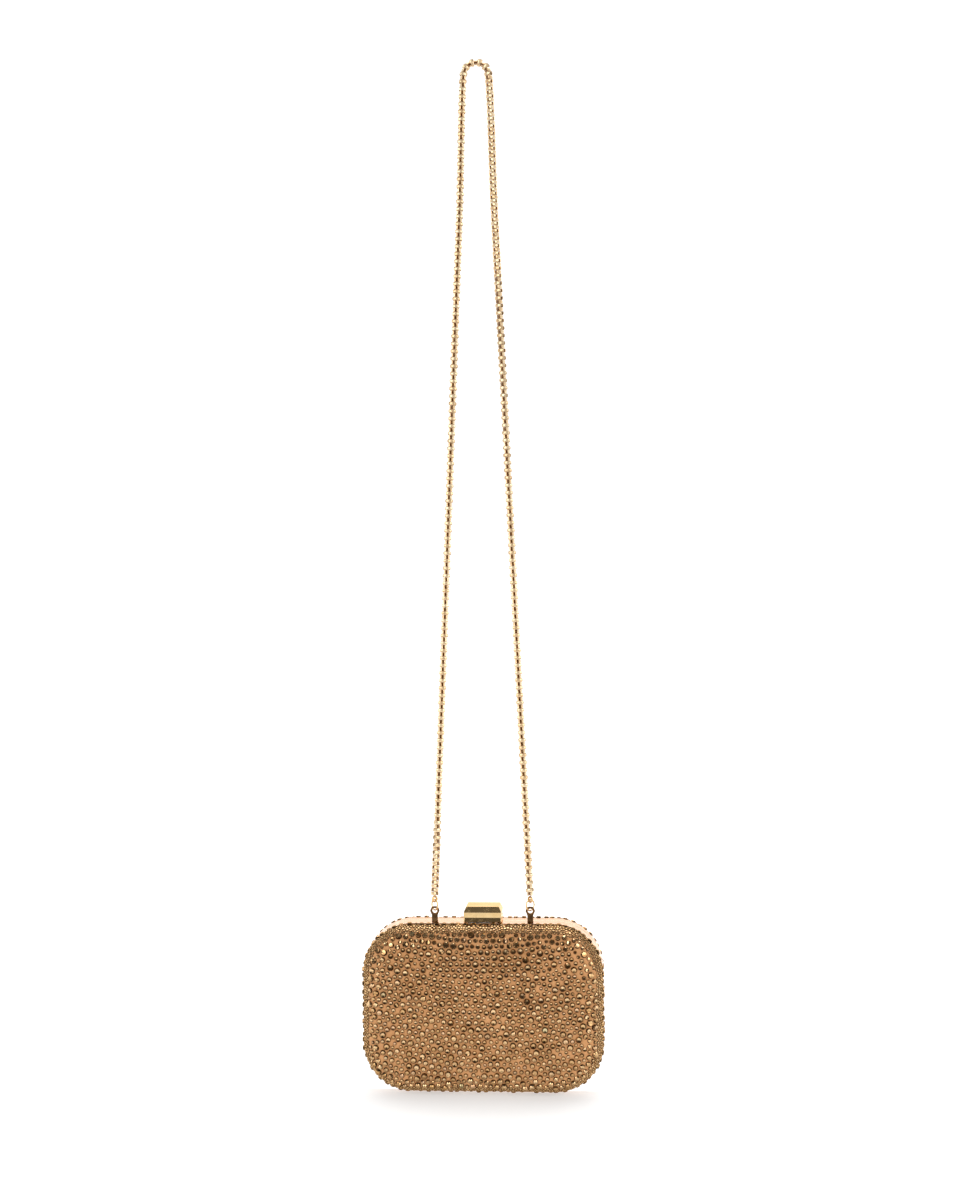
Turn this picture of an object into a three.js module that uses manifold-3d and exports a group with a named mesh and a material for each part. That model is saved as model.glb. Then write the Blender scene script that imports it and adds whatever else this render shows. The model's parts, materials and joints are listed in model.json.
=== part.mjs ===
// Evening bag: a hard, two-part case covered in stones, on a long chain strap.
// Millimetres, +Z up, front towards -Y. The origin is the outer top of the strap, where it is hung up.
import * as THREE from "three";
import { mergeVertices } from "three/addons/utils/BufferGeometryUtils.js";
import Module from "manifold-3d";

const wasm = await Module();
wasm.setup();

// ---------------------------------------------------------------- driving dimensions

const gap = 0.3; // between pieces that touch

// Case outline, measured on the outside of the frame
const caseWidth = 167;
const caseHeight = 116;
const caseCorner = 34;

// Frame: an outer band and an inner flange at the parting plane
const partingGap = 0.4;
const bandDepth = 10.5;
const bandWall = 1.4;
const flangeWall = 1.4;

// Skins of one half, from the outside in
const coverWall = 0.9;
const shellWall = 1.6;
const liningWall = 0.7;
const halfDepth = 24; // parting plane to the outside of the cover's face
const edgeRound = 13; // width of the rounded edge, seen from the front
const edgeRise = 1; // straight stretch of the cover between the band and the rounded edge
const coverTuck = 3.2; // the cover starts here, inside the band

// Slip pocket, by its margins inside the flat of the back lining
const pocketSide = 13.8;
const pocketAbove = 27.3;
const pocketBelow = 7.3;
const pocketWall = 0.9;
const pocketCorner = 8;

// Bottom hinges
const hingeEnd = 1.5; // from the outer end of a hinge to the start of the corner
const hingeLength = 24;
const frontKnuckle = 8;
const barrelRadius = 1.35;
const barrelDrop = 0.3; // axis below the frame's underside
const barrelEndClear = 1.3; // free length of the frame's relief past each end of a barrel
const hingePinRadius = 0.6;
const hingePinHead = 0.5;
const hingePinHeadRadius = 1.15;
const leafWall = 0.7;
const leafSetIn = 0.9; // leaf's free edge inside the band's edge
const leafClear = 0.4; // leaf's plate to the other half's barrel

// Clasp flap
const flapWidth = 26.4;
const flapSetIn = 0.2; // skirts inside the edges of the two bands
const flapTop = 11.2;
const flapBevelDrop = 3.8;
const flapBevelInset = 1.8;
const flapWall = 1.3;
const flapDeck = 4.2;
const flapClear = 0.6; // under the front skirt
const flapBackClear = 3.2; // under the back skirt, so that the flap can turn
const claspPinRadius = 0.8;

// Bracket that carries the flap
const earRim = 0.8; // metal round the pin's bore
const earWall = 1.8;
const earSideClear = 0.5;
const earTopClear = 0.7;
const earBackClear = 0.5;
const bracketWall = 0.8;
const bracketDepth = 5;
const bracketRivetSpread = 5;
const bracketRivetInset = 2.2; // from the bracket's front edge

// Magnet in the flap and the steel plate let into the front frame
const magnetWidth = 16;
const magnetDepth = 3;
const magnetClear = 0.7; // magnet above the frame
const strikeWidth = 18;
const strikeDepth = 6;
const strikeWall = 0.8;
const strikeProud = 0.2;

// Chain tabs
const tabSetIn = 0.3; // tab's front face behind the front edge of the band
const tabWall = 1;
const tabStemWidth = 4.1;
const tabHeadWidth = 6.8;
const tabHeadHeight = 6;
const tabHeadTaper = 0.7; // height of the slant beside the head's flat top
const tabFootReach = 4;
const tabFootWall = 0.8;
const tabRivetInset = 1.45; // from the foot's back edge
const eyeHeight = 8.5; // eyelet's centre above the frame
const eyeRadius = 2;

// Rings and the chain's end loops
const ringRadius = 3.7; // to the middle of the wire
const ringWire = 0.475;
const ringHang = 0.35; // ring's lowest wire above the eyelet's centre
const ringTurnLeft = 38; // degrees from pointing straight back
const ringTurnRight = 45;
const endLoopRadius = 1.95;
const endLoopWire = 0.4;
const endLoopLift = 0.2; // end loop's centre above the ring's top

// Rivets
const rivetRadius = 0.7;
const rivetHeadRadius = 1.3;
const rivetHeadHeight = 0.7;

// Route of one strand of the strap, from its top to its end: distance from the middle, height
const chainRadius = 2.55;
const strapRoute = [
  [0, -chainRadius],
  [4.35, -3.75],
  [7.5, -6.9],
  [8.75, -11.3],
  [9.4, -20.7],
  [9.9, -32],
  [10.6, -55],
  [11.8, -98],
  [14.6, -161],
  [17.5, -227],
  [20.4, -293],
  [23.3, -359],
  [26.2, -425],
  [29.1, -490],
  [31.7, -549],
  [33.2, -580.9],
];
const strapSteps = 80;
const strapSides = 8;

// Smoothness
const arcSteps = 4;
const edgeSteps = 4;
const roundSides = 16;
const wireSides = 8;
const ringSides = 24;

// ---------------------------------------------------------------- sizes that follow

// Skins, as depths below the cover's outside
const coverInset = bandWall + gap; // cover's outside inside the band's outside
const edgeStart = bandDepth + edgeRise;
const shellDepth = coverWall + gap;
const liningDepth = shellDepth + shellWall + gap;
const innerDepth = liningDepth + liningWall;
const flatInset = coverInset + edgeRound; // outline to the start of the flat face
const flangeFront = partingGap / 2 + flangeWall;
const flangeInset = coverInset + innerDepth + 0.1; // the flange just hides the skins' edges

const hingeSpread = caseWidth / 2 - caseCorner - hingeEnd - hingeLength / 2;
const hingeHeight = -caseHeight - barrelDrop;

const flapDepth = 2 * (bandDepth - flapSetIn);
const earRadius = claspPinRadius + gap + earRim;
const claspPinY = flapDepth / 2 - flapWall - earBackClear - earRadius;
const claspPinHeight = flapTop - flapDeck - earTopClear - earRadius;
const earOutside = flapWidth / 2 - flapWall - earSideClear;
const bracketBack = claspPinY + earRadius / 4;
const bracketFront = bracketBack - bracketDepth;
const bracketRivetY = bracketFront + bracketRivetInset;
const magnetY = -flapDepth / 2 + flapWall + gap + magnetDepth / 2;
const magnetTop = flapTop - flapDeck - gap;

const tabY = -bandDepth + tabSetIn + tabWall / 2; // middle of the tab's wall
const tabFootBack = -bandDepth + tabSetIn + tabFootReach;
const tabRivetY = tabFootBack - tabRivetInset;

const ringCentre = eyeHeight + ringHang + ringRadius;
const ringTop = ringCentre + ringRadius;
const endLoopCentre = ringTop + endLoopLift;
const [tabSpread, strapEnd] = strapRoute.at(-1);
const caseTop = strapEnd - gap - endLoopCentre - endLoopRadius - endLoopWire;

// ---------------------------------------------------------------- materials

const finish = (color, roughness, metalness) =>
  new THREE.MeshStandardMaterial({ color, roughness, metalness });

const roseGold = finish(0xe9c7ad, 0.16, 1);
const yellowGold = finish(0xd9b06a, 0.2, 1);
const coverFabric = finish(0xb98f66, 0.8, 0);
const liningFabric = finish(0xc9ab86, 0.7, 0);
const board = finish(0x6b5a48, 0.75, 0);
const steel = finish(0xb9b9b6, 0.3, 1);
const magnetMetal = finish(0x8f9092, 0.35, 1);

// ---------------------------------------------------------------- solids

// A closed three.js geometry as a solid that can be cut and joined.
function solid(geometry) {
  const bare = geometry.clone();
  bare.deleteAttribute("normal");
  bare.deleteAttribute("uv");
  const merged = mergeVertices(bare, 1e-4);
  return new wasm.Manifold(
    new wasm.Mesh({
      numProp: 3,
      vertProperties: merged.attributes.position.array,
      triVerts: new Uint32Array(merged.index.array),
    }),
  );
}

// A solid as a three.js geometry.
function geometryOf(body) {
  const mesh = body.getMesh();
  const geometry = new THREE.BufferGeometry();
  geometry.setAttribute("position", new THREE.BufferAttribute(mesh.vertProperties, 3));
  geometry.setIndex(new THREE.BufferAttribute(mesh.triVerts, 1));
  const flat = geometry.toNonIndexed();
  flat.computeVertexNormals();
  return flat;
}

function part(name, shape, material) {
  const geometry = shape.isBufferGeometry ? shape : geometryOf(shape);
  const mesh = new THREE.Mesh(geometry, material);
  mesh.name = name;
  return mesh;
}

// Box between two values of x, of y and of z, each pair in either order.
function box([x0, x1], [y0, y1], [z0, z1]) {
  const size = [x1 - x0, y1 - y0, z1 - z0].map(Math.abs);
  return new THREE.BoxGeometry(...size).translate((x0 + x1) / 2, (y0 + y1) / 2, (z0 + z1) / 2);
}

const both = (half) => [-half, half];
const around = (middle, width) => [middle - width / 2, middle + width / 2];
const wide = both(caseWidth);

// Cylinder along X, centred at (x, y, z).
function rodX(radius, length, x, y, z) {
  const geometry = new THREE.CylinderGeometry(radius, radius, length, roundSides);
  return geometry.rotateZ(Math.PI / 2).translate(x, y, z);
}

// Round hole along Z, through whatever lies within a band's wall or a foot's wall.
function rivetHole(x, y) {
  const reach = 2 * (bandWall + tabFootWall + bracketWall);
  const geometry = new THREE.CylinderGeometry(
    rivetRadius + gap,
    rivetRadius + gap,
    2 * reach,
    roundSides,
  );
  return solid(geometry.rotateX(Math.PI / 2).translate(x, y, 0));
}

// Rounded rectangle whose top edge lies at height `top`.
function roundedRect(width, height, corner, top) {
  const x = width / 2 - corner;
  const high = top - corner;
  const low = top - height + corner;
  const shape = new THREE.Shape();
  shape.absarc(x, high, corner, 0, Math.PI / 2);
  shape.absarc(-x, high, corner, Math.PI / 2, Math.PI);
  shape.absarc(-x, low, corner, Math.PI, 1.5 * Math.PI);
  shape.absarc(x, low, corner, 1.5 * Math.PI, 2 * Math.PI);
  shape.closePath();
  return shape;
}

// The case's outline, drawn in by `inset` all round.
const outline = (inset) =>
  roundedRect(caseWidth - 2 * inset, caseHeight - 2 * inset, caseCorner - inset, -inset);

// Stands an extrusion of an (x, z) outline up, so that its depth runs from y = -from to y = -to.
function standUp(shape, from, to) {
  const settings = { depth: to - from, bevelEnabled: false, curveSegments: arcSteps };
  const geometry = new THREE.ExtrudeGeometry(shape, settings);
  return geometry.rotateX(Math.PI / 2).translate(0, -from, 0);
}

// A closed ring between two insets of the outline.
function outlineRing(outer, inner, from, to) {
  const shape = outline(outer);
  shape.holes.push(outline(inner));
  return solid(standUp(shape, from, to));
}

// The pillow shape of one half, `depth` below the cover's outside.
function pillow(depth) {
  const inset = edgeRound - depth;
  const drop = halfDepth - edgeStart - depth;
  const geometry = new THREE.ExtrudeGeometry(outline(coverInset + depth), {
    depth: edgeStart + drop,
    bevelEnabled: true,
    bevelThickness: drop,
    bevelSize: inset,
    bevelOffset: -inset,
    bevelSegments: edgeSteps,
    curveSegments: arcSteps,
  });
  // The straight depth starts behind the parting plane, so only the rounded front end is kept.
  return solid(geometry.rotateX(Math.PI / 2).translate(0, drop, 0));
}

// The skin between two depths of the pillow, open towards the parting plane from `from` on.
function skin(outer, inner, from) {
  const behind = box(wide, [-from, caseWidth], both(2 * caseHeight));
  return pillow(outer).subtract(pillow(inner)).subtract(solid(behind));
}

// ---------------------------------------------------------------- frame and rivets

// Band and flange of the front half, with a relief for each hinge barrel.
function frameHalf() {
  const band = outlineRing(0, bandWall, partingGap / 2, bandDepth);
  const flange = outlineRing(bandWall / 2, flangeInset, partingGap / 2, flangeFront);
  const relief = (x) =>
    solid(rodX(barrelRadius + gap, hingeLength + 2 * barrelEndClear, x, 0, hingeHeight));
  return band.add(flange).subtract(relief(-hingeSpread)).subtract(relief(hingeSpread));
}

// A domed rivet whose head sits at height z and whose shank ends flush inside the band.
function rivet(x, y, z) {
  const profile = [
    [0, -bandWall],
    [rivetRadius, -bandWall],
    [rivetRadius, z],
    [rivetHeadRadius, z],
    [rivetHeadRadius * 0.85, z + rivetHeadHeight * 0.6],
    [rivetHeadRadius * 0.45, z + rivetHeadHeight * 0.93],
    [0, z + rivetHeadHeight],
  ].map(([radius, height]) => new THREE.Vector2(radius, height));
  return new THREE.LatheGeometry(profile, roundSides).rotateX(Math.PI / 2).translate(x, y, 0);
}

// ---------------------------------------------------------------- hinges

// A leaf with its knuckles; `facing` is -1 for the front half and 1 for the back half.
function hingeLeaf(x, facing, knuckles) {
  const plateEdge = barrelRadius + leafClear;
  const plateZ = [-caseHeight - gap - leafWall, -caseHeight - gap];
  const plateY = [facing * plateEdge, facing * (bandDepth - leafSetIn)];
  const webY = [facing * barrelRadius * 0.6, facing * (plateEdge + gap)];
  let leaf = solid(box(around(x, hingeLength), plateY, plateZ));
  for (const [from, to] of knuckles) {
    leaf = leaf
      .add(solid(box([x + from, x + to], webY, plateZ)))
      .add(solid(rodX(barrelRadius, to - from, x + (from + to) / 2, 0, hingeHeight)));
  }
  return leaf.subtract(solid(rodX(hingePinRadius + gap, 2 * hingeLength, x, 0, hingeHeight)));
}

const frontKnuckles = [both(frontKnuckle / 2)];
const backKnuckles = [
  [-hingeLength / 2, -frontKnuckle / 2 - gap],
  [frontKnuckle / 2 + gap, hingeLength / 2],
];

// Hinge pin with a small head just outside each outer knuckle.
function hingePin(x) {
  const half = hingeLength / 2 + gap;
  const profile = [
    [0, -half - hingePinHead],
    [hingePinHeadRadius, -half - hingePinHead],
    [hingePinHeadRadius, -half],
    [hingePinRadius, -half],
    [hingePinRadius, half],
    [hingePinHeadRadius, half],
    [hingePinHeadRadius, half + hingePinHead],
    [0, half + hingePinHead],
  ].map(([radius, along]) => new THREE.Vector2(radius, along));
  const geometry = new THREE.LatheGeometry(profile, roundSides);
  return geometry.rotateZ(-Math.PI / 2).translate(x, 0, hingeHeight);
}

// ---------------------------------------------------------------- clasp

// A rectangular bar with a bevelled top, hollow below, turning on a pin near its back.
function claspFlap() {
  const x = flapWidth / 2;
  const y = flapDepth / 2;
  const shape = new THREE.Shape();
  shape.moveTo(-x, -y).lineTo(x, -y).lineTo(x, y).lineTo(-x, y).closePath();
  const bar = new THREE.ExtrudeGeometry(shape, {
    depth: flapTop - flapBevelDrop,
    bevelEnabled: true,
    bevelThickness: flapBevelDrop,
    bevelSize: flapBevelInset,
    bevelOffset: -flapBevelInset,
    bevelSegments: 1,
  });
  const below = box(wide, both(flapDepth), [-flapTop, flapClear]);
  const cavity = box(both(x - flapWall), both(y - flapWall), [-flapTop, flapTop - flapDeck]);
  const backRelief = box(wide, [claspPinY, flapDepth], [-flapTop, flapBackClear]);
  const bore = rodX(claspPinRadius + gap, 2 * flapWidth, 0, claspPinY, claspPinHeight);
  const cuts = [below, cavity, backRelief, bore];
  return cuts.reduce((flap, cut) => flap.subtract(solid(cut)), solid(bar));
}

// Plate with two upright ears that hold the flap's pin.
function claspBracket() {
  const plate = box(both(earOutside), [bracketFront, bracketBack], [gap, gap + bracketWall]);
  let bracket = solid(plate);
  for (const side of [-1, 1]) {
    const earX = [side * (earOutside - earWall), side * earOutside];
    const middle = (earX[0] + earX[1]) / 2;
    const neck = box(earX, [claspPinY - earRadius, bracketBack], [gap, claspPinHeight]);
    const eye = rodX(earRadius, earWall, middle, claspPinY, claspPinHeight);
    bracket = bracket.add(solid(neck)).add(solid(eye));
    bracket = bracket.subtract(rivetHole(side * bracketRivetSpread, bracketRivetY));
  }
  const bore = rodX(claspPinRadius + gap, 2 * flapWidth, 0, claspPinY, claspPinHeight);
  return bracket.subtract(solid(bore));
}

const magnet = box(
  both(magnetWidth / 2),
  around(magnetY, magnetDepth),
  [magnetClear, magnetTop],
);
const strikeZ = [strikeProud - strikeWall, strikeProud];
const strike = box(both(strikeWidth / 2), around(magnetY, strikeDepth), strikeZ);
const strikePocket = box(
  both(strikeWidth / 2 + gap),
  around(magnetY, strikeDepth + 2 * gap),
  [strikeZ[0] - gap, bandWall],
);

// ---------------------------------------------------------------- chain tabs, rings, end loops

// Upright tab: a flat stem with a six-sided eyelet head, on a short foot that points backwards.
function chainTab() {
  const stem = tabStemWidth / 2;
  const head = tabHeadWidth / 2;
  const top = eyeHeight + tabHeadHeight / 2;
  const shoulder = eyeHeight - tabHeadHeight / 2;
  const rightSide = [
    [stem, gap],
    [stem, shoulder],
    [head, eyeHeight],
    [head * 0.7, top - tabHeadTaper],
    [head * 0.35, top],
  ];
  const leftSide = rightSide.map(([x, z]) => [-x, z]).reverse();
  const points = [...rightSide, ...leftSide].map(([x, z]) => new THREE.Vector2(x, z));
  const shape = new THREE.Shape(points);
  const eye = new THREE.Path();
  eye.absarc(0, eyeHeight, eyeRadius, 0, 2 * Math.PI, true);
  shape.holes.push(eye);
  const front = bandDepth - tabSetIn;
  const plate = solid(standUp(shape, front - tabWall, front));
  const foot = box(both(stem), [tabY, tabFootBack], [gap, gap + tabFootWall]);
  return plate.add(solid(foot)).subtract(rivetHole(0, tabRivetY));
}

// A closed ring of round wire in the plane of Y and Z, then turned about Z.
function wireRing(radius, wire, turn) {
  const section = new THREE.Shape();
  section.absarc(0, 0, wire, 0, 2 * Math.PI);
  const points = section.getPoints(wireSides / 2);
  const profile = points.map((point) => new THREE.Vector2(radius + point.x, point.y));
  const ring = new THREE.LatheGeometry(profile, ringSides).rotateZ(Math.PI / 2);
  return ring.rotateZ(THREE.MathUtils.degToRad(turn));
}

// ---------------------------------------------------------------- strap

function strapChain() {
  const right = strapRoute.map(([x, z]) => new THREE.Vector3(x, 0, z));
  const left = strapRoute.slice(1).map(([x, z]) => new THREE.Vector3(-x, 0, z));
  const path = new THREE.CatmullRomCurve3([...left.reverse(), ...right], false, "centripetal");
  const corners = Array.from({ length: strapSides }, (_, i) => {
    const angle = (2 * Math.PI * i) / strapSides;
    return new THREE.Vector2(chainRadius * Math.cos(angle), chainRadius * Math.sin(angle));
  });
  const settings = { steps: strapSteps, bevelEnabled: false, extrudePath: path };
  return new THREE.ExtrudeGeometry(new THREE.Shape(corners), settings);
}

// ---------------------------------------------------------------- assembly

// The case stands in a group whose origin is the middle of the parting line on the frame's top.
const bag = new THREE.Group();
bag.position.set(0, -tabY, caseTop);
const backward = new THREE.Group(); // what is drawn facing the front and belongs to the back half
backward.rotation.z = Math.PI;
bag.add(backward);

let frontFrame = frameHalf().subtract(solid(strikePocket));
let backFrame = solid(geometryOf(frameHalf()).rotateZ(Math.PI));

for (const [name, side] of [["left", -1], ["right", 1]]) {
  const tabX = side * tabSpread;
  const bracketX = side * bracketRivetSpread;
  frontFrame = frontFrame.subtract(rivetHole(tabX, tabRivetY));
  backFrame = backFrame.subtract(rivetHole(bracketX, bracketRivetY));

  const hingeX = side * hingeSpread;
  bag.add(part(`hinge_leaf_front_${name}`, hingeLeaf(hingeX, -1, frontKnuckles), roseGold));
  bag.add(part(`hinge_leaf_back_${name}`, hingeLeaf(hingeX, 1, backKnuckles), roseGold));
  bag.add(part(`hinge_pin_${name}`, hingePin(hingeX), steel));

  const tab = part(`chain_tab_${name}`, chainTab(), yellowGold);
  tab.position.x = tabX;
  bag.add(tab);
  const tabRivet = rivet(tabX, tabRivetY, 2 * gap + tabFootWall);
  bag.add(part(`tab_rivet_${name}`, tabRivet, yellowGold));
  const bracketRivet = rivet(bracketX, bracketRivetY, 2 * gap + bracketWall);
  bag.add(part(`bracket_rivet_${name}`, bracketRivet, steel));

  // Each end loop stands square to its ring, round the ring's top.
  const turn = side < 0 ? ringTurnLeft : -ringTurnRight;
  const ring = part(`jump_ring_${name}`, wireRing(ringRadius, ringWire, turn), yellowGold);
  ring.position.set(tabX, tabY, ringCentre);
  bag.add(ring);
  const endLoop = wireRing(endLoopRadius, endLoopWire, turn + 90);
  const end = part(`chain_end_${name}`, endLoop, yellowGold);
  end.position.set(tabX, tabY, endLoopCentre);
  bag.add(end);
}
bag.add(part("front_frame", frontFrame, roseGold));
bag.add(part("back_frame", backFrame, roseGold));

for (const [half, holder] of [["front", bag], ["back", backward]]) {
  const cover = skin(0, coverWall, coverTuck);
  const shell = skin(shellDepth, shellDepth + shellWall, flangeFront + gap);
  const lining = skin(liningDepth, innerDepth, flangeFront + gap);
  holder.add(part(`${half}_cover`, cover, coverFabric));
  holder.add(part(`${half}_shell`, shell, board));
  holder.add(part(`${half}_lining`, lining, liningFabric));
}

const pocketShape = roundedRect(
  caseWidth - 2 * (flatInset + pocketSide),
  caseHeight - 2 * flatInset - pocketAbove - pocketBelow,
  pocketCorner,
  -flatInset - pocketAbove,
);
const pocketFront = halfDepth - innerDepth - gap;
const pocket = standUp(pocketShape, pocketFront - pocketWall, pocketFront);
backward.add(part("slip_pocket", pocket, liningFabric));

const claspPin = rodX(claspPinRadius, flapWidth - 2 * gap, 0, claspPinY, claspPinHeight);
bag.add(part("clasp_flap", claspFlap(), yellowGold));
bag.add(part("clasp_bracket", claspBracket(), steel));
bag.add(part("clasp_pin", claspPin, steel));
bag.add(part("clasp_magnet", magnet, magnetMetal));
bag.add(part("strike_plate", strike, steel));

const group = new THREE.Group();
group.add(bag);
group.add(part("strap_chain", strapChain(), yellowGold));

export default group;
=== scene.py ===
"""Evening bag: a hard case of two stone-covered halves that hangs on a long chain strap.

Lengths are in metres. A point of the case is given as (x, depth, height): x from the middle, depth from
the parting plane outwards, for either half, and height from the top of the frame.
"""

import json
import math

import bpy
import numpy as np
from mathutils import Matrix, Vector


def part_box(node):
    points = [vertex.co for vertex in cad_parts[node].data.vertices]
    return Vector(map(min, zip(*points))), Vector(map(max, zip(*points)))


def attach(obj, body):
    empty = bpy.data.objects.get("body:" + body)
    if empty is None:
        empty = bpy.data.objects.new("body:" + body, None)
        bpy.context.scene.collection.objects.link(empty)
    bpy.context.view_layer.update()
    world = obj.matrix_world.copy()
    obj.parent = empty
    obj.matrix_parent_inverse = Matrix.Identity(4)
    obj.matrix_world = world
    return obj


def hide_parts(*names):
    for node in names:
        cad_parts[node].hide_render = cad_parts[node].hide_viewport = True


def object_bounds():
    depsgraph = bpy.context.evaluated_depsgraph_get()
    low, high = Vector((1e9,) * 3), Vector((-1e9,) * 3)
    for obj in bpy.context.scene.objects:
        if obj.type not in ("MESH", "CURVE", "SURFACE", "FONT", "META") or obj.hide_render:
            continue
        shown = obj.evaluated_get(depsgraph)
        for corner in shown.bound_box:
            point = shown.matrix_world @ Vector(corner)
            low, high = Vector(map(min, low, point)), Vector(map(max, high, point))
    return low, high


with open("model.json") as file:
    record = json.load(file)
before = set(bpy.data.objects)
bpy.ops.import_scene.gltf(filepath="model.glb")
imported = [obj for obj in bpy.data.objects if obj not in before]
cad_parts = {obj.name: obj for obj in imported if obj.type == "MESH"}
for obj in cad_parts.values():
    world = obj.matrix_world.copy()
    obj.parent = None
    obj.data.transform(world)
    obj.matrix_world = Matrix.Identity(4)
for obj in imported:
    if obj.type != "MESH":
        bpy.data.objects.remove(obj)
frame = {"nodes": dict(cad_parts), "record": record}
cad_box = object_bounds()
joints = {joint["name"]: joint for joint in frame["record"]["behaviour"]["joints"]}
MM = 0.001


def added(name, data):
    """A new object of that data in the scene."""
    made = bpy.data.objects.new(name, data)
    bpy.context.scene.collection.objects.link(made)
    return made


# ---- camera

VIEW_DISTANCE = 1.157
VIEW_DROP = 0.3758  # from the strap's top down to the camera's height
VIEW_TURN = math.radians(4.0)
VIEW_ROLL = math.radians(-0.45)

camera_data = bpy.data.cameras.new("camera")
camera_data.sensor_fit = "VERTICAL"
camera_data.sensor_height = 36
camera_data.lens = 50
camera = added("camera", camera_data)
view_x, view_y = VIEW_DISTANCE * math.sin(VIEW_TURN), -VIEW_DISTANCE * math.cos(VIEW_TURN)
camera.matrix_world = (
    Matrix.Translation((view_x, view_y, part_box("strap_chain")[1].z - VIEW_DROP))
    @ Matrix.Rotation(VIEW_TURN, 4, "Z")
    @ Matrix.Rotation(math.pi / 2, 4, "X")
    @ Matrix.Rotation(VIEW_ROLL, 4, "Z")
)
bpy.context.scene.camera = camera
bpy.context.scene.view_settings.view_transform = "Standard"

# ---- materials


def add_node(tree, kind, **settings):
    """A node of that kind, with its sockets set by name and its options by attribute."""
    node = tree.nodes.new(kind)
    for name, value in settings.items():
        if name in node.inputs:
            node.inputs[name].default_value = value
        else:
            setattr(node, name, value)
    return node


def new_finish(name, colour, roughness, **sockets):
    """A material on the plain shader. Names of its sockets have underscores for spaces."""
    made = bpy.data.materials.new(name)
    made.use_nodes = True
    shader = made.node_tree.nodes["Principled BSDF"]
    shader.inputs["Base Color"].default_value = (*colour, 1)
    shader.inputs["Roughness"].default_value = roughness
    for socket, value in sockets.items():
        shader.inputs[socket.replace("_", " ")].default_value = value
    return made, made.node_tree, shader


def noise(tree, scale, detail, stretch=(1, 1, 1), roughness=0.5):
    """Noise on the piece's own coordinates; stretch multiplies them axis by axis."""
    where = add_node(tree, "ShaderNodeTexCoord")
    mapping = add_node(tree, "ShaderNodeMapping", Scale=stretch)
    tree.links.new(where.outputs["Object"], mapping.inputs["Vector"])
    grain = add_node(tree, "ShaderNodeTexNoise", Scale=scale, Detail=detail, Roughness=roughness)
    tree.links.new(mapping.outputs["Vector"], grain.inputs["Vector"])
    return grain.outputs["Fac"]


def spread(tree, value, low, high, start=0.35, end=0.65):
    """The value's range from start to end laid out from low to high."""
    node = add_node(tree, "ShaderNodeMapRange")
    for name, number in (("From Min", start), ("From Max", end), ("To Min", low), ("To Max", high)):
        node.inputs[name].default_value = number
    tree.links.new(value, node.inputs["Value"])
    return node.outputs["Result"]


def colours(tree, value, stops):
    """Colours along the value, from (place, red, green, blue) stops."""
    node = add_node(tree, "ShaderNodeValToRGB")
    ramp = node.color_ramp
    while len(ramp.elements) < len(stops):
        ramp.elements.new(0.5)
    for element, (place, *colour) in zip(ramp.elements, stops):
        element.position = place
        element.color = (*colour, 1)
    tree.links.new(value, node.inputs["Fac"])
    return node.outputs["Color"]


def multiply(tree, first, second):
    """Two colours or values multiplied channel by channel."""
    node = add_node(tree, "ShaderNodeMix", data_type="RGBA", blend_type="MULTIPLY")
    node.inputs["Factor"].default_value = 1
    tree.links.new(first, node.inputs[6])
    tree.links.new(second, node.inputs[7])
    return node.outputs[2]


def bump(tree, shader, height, distance, strength):
    """Relief of that height in metres on the shader's normal."""
    node = add_node(tree, "ShaderNodeBump", Distance=distance, Strength=strength)
    tree.links.new(height, node.inputs["Height"])
    tree.links.new(node.outputs["Normal"], shader.inputs["Normal"])


def attribute(tree, name):
    return add_node(tree, "ShaderNodeAttribute", attribute_name=name).outputs["Fac"]


def plated(name, dark, light, smooth, worn, scratch=0.4, edge=(1, 1, 1)):
    """Polished plate: tone drifts slowly, handling marks dull it in patches, hairlines catch the light.

    The edge colour tints what the plate reflects at a low angle.
    """
    made, tree, shader = new_finish(name, light, smooth, Metallic=1.0, Specular_Tint=(*edge, 1))
    tone = colours(tree, noise(tree, 90, 2), [(0.3, *dark), (0.7, *light)])
    tree.links.new(tone, shader.inputs["Base Color"])
    handled = spread(tree, noise(tree, 260, 4), smooth, worn)
    tree.links.new(handled, shader.inputs["Roughness"])
    bump(tree, shader, noise(tree, 2400, 2, (1, 1, 6)), 0.00002 * scratch, 0.35)
    return made


rose_gold = plated("rose_gold_plate", (0.80, 0.56, 0.41), (0.87, 0.65, 0.49), 0.08, 0.2,
                   edge=(0.97, 0.80, 0.68))
yellow_gold = plated("yellow_gold_plate", (0.80, 0.54, 0.24), (0.88, 0.65, 0.34), 0.08, 0.22,
                     edge=(0.95, 0.80, 0.58))
# Tabs and their rivets: a darker copy of the gold, painted shade for the dark that the tabs reflect.
tab_gold_shaded = plated("tab_gold_painted_dark", (0.24, 0.13, 0.055), (0.36, 0.20, 0.09), 0.12, 0.3,
                  edge=(0.6, 0.45, 0.3))
steel = plated("plain_steel", (0.50, 0.50, 0.49), (0.62, 0.62, 0.60), 0.22, 0.38, 1.5)
nickel = plated("nickel_plate", (0.42, 0.43, 0.44), (0.52, 0.53, 0.54), 0.26, 0.42, 1.5)


def link_metal():
    """Chain plate: each link has its own tone and shine, and painted shade makes the metal darker down in
    the joints and on the rod inside.
    """
    made, tree, shader = new_finish("chain_plate", (0.88, 0.67, 0.4), 0.2, Metallic=0.45)
    tone = colours(tree, attribute(tree, "link_tone"), [(0.0, 0.86, 0.60, 0.33), (1.0, 0.97, 0.78, 0.51)])
    # Painted shade: the metal is coloured darker down in the joints, where the links shade each other.
    depth = colours(tree, attribute(tree, "painted_joint_shade"), [(0.0, 0.42, 0.26, 0.12), (0.5, 1, 1, 1)])
    tree.links.new(multiply(tree, tone, depth), shader.inputs["Base Color"])
    tree.links.new(spread(tree, noise(tree, 700, 3), 0.16, 0.34), shader.inputs["Roughness"])
    bump(tree, shader, noise(tree, 2600, 2), 0.00001, 0.4)
    return made


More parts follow.
